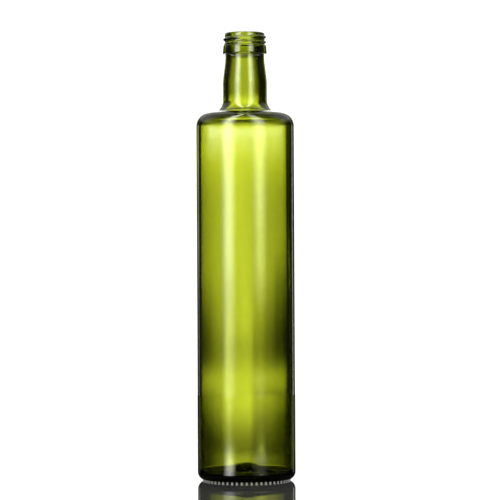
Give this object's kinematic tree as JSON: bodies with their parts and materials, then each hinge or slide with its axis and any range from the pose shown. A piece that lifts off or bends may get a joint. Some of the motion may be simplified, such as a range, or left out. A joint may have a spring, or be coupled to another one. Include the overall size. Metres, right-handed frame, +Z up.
{
  "type": "olive oil bottle",
  "caption": "Tall round green glass bottle for olive oil, empty and uncapped, with a rounded shoulder, a tapered neck, a right-handed screw thread and a push-up base.",
  "frame": {"origin": "on the table, under the middle of the base", "axes": "+Z up along the bottle's axis; the camera of the picture looks along +Y; the thread's angle of 0 is at +X"},
  "size_m": [0.0688, 0.0688, 0.315],
  "materials": {
    "green_glass": "polished, clear yellow-green glass"
  },
  "bodies": {
    "root": {"bottle": "green_glass"}
  },
  "joints": []
}
